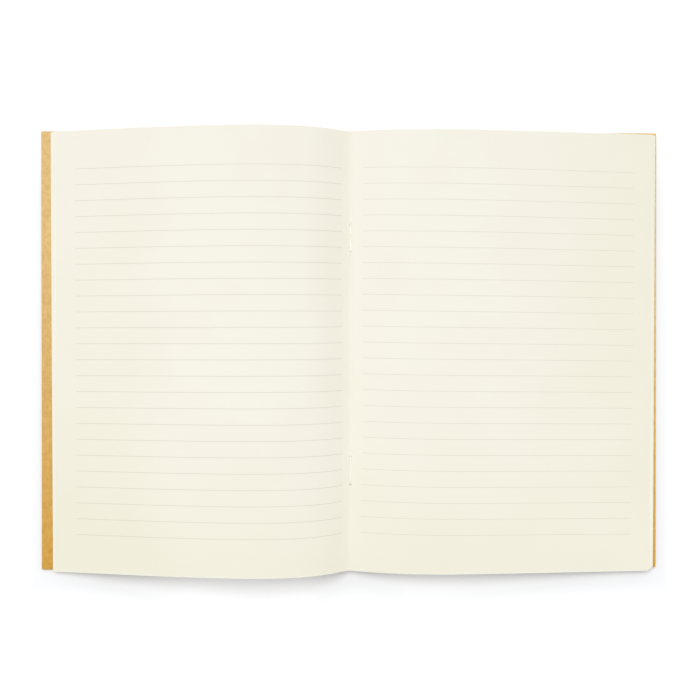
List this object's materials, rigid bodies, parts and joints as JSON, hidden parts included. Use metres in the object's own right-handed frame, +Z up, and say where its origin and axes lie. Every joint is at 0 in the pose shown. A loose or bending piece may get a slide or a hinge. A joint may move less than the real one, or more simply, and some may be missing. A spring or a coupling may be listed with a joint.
{
  "type": "open stapled notebook",
  "caption": "Soft-cover ruled notebook lying open at its middle spread, kraft card cover, wire-stapled fold, front cover closes over the back.",
  "frame": {"origin": "on the table below the fold, halfway up the pages", "axes": "+X to the right across the spread, +Y up the pages towards their head, +Z up from the table"},
  "size_m": [0.296, 0.21, 0.0184],
  "materials": {
    "cover_card": "matte",
    "page_paper": "matte",
    "staple_wire": "satin"
  },
  "bodies": {
    "back_half": {"back_cover": "cover_card", "pages": "page_paper"},
    "front_half": {"front_cover": "cover_card"},
    "fold": {"staples": "staple_wire"}
  },
  "joints": [
    {"name": "front_cover_hinge", "type": "hinge", "parent": "back_half", "child": "front_half", "pos_m": [0, 0, 0.00375], "axis": [0, 1, 0], "range_deg": [0, 179.9], "deforming": ["pages"]},
    {"name": "staple_turn", "type": "hinge", "parent": "back_half", "child": "fold", "pos_m": [0, 0, 0.00375], "axis": [0, 1, 0], "range_deg": [0, 90]}
  ],
  "couplings": [
    {"joint": "staple_turn", "follows": "front_cover_hinge", "ratio": 0.5}
  ]
}
